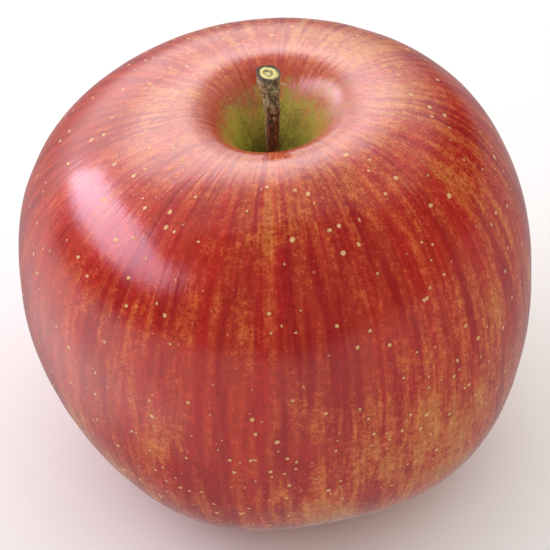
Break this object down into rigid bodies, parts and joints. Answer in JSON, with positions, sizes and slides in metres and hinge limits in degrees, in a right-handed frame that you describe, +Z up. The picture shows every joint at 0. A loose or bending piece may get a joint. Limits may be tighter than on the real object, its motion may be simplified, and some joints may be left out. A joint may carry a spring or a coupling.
{
  "type": "red apple",
  "caption": "Whole red apple with its woody stem, standing on the small flats of its base lobes; dried sepals, stamens and styles sit in the eye underneath.",
  "frame": {"origin": "centre of the apple's outline seen from above, at the height of the surface that it stands on", "axes": "+Z up along the core, from the eye towards the stem; +X towards the side where the fruit's crown is higher and its widest ring is lower"},
  "size_m": [0.088, 0.088, 0.0797],
  "materials": {
    "waxy_red_skin": "apple skin with natural wax: deep crimson streaks over orange and yellow, cream pores, green in the stem cavity",
    "stem_bark": "rough young bark, red-brown below and grey-green above, with a pale cut end",
    "dried_sepal": "dried, downy sepal, matte",
    "dried_stamen": "dried threads, matte"
  },
  "bodies": {
    "root": {"fruit": "waxy_red_skin", "stem": "stem_bark", "sepal_1": "dried_sepal", "sepal_2": "dried_sepal", "sepal_3": "dried_sepal", "sepal_4": "dried_sepal", "sepal_5": "dried_sepal", "stamen_01": "dried_stamen", "stamen_02": "dried_stamen", "stamen_03": "dried_stamen", "stamen_04": "dried_stamen", "stamen_05": "dried_stamen", "stamen_06": "dried_stamen", "stamen_07": "dried_stamen", "stamen_08": "dried_stamen", "stamen_09": "dried_stamen", "stamen_10": "dried_stamen", "styles": "dried_stamen"}
  },
  "joints": []
}
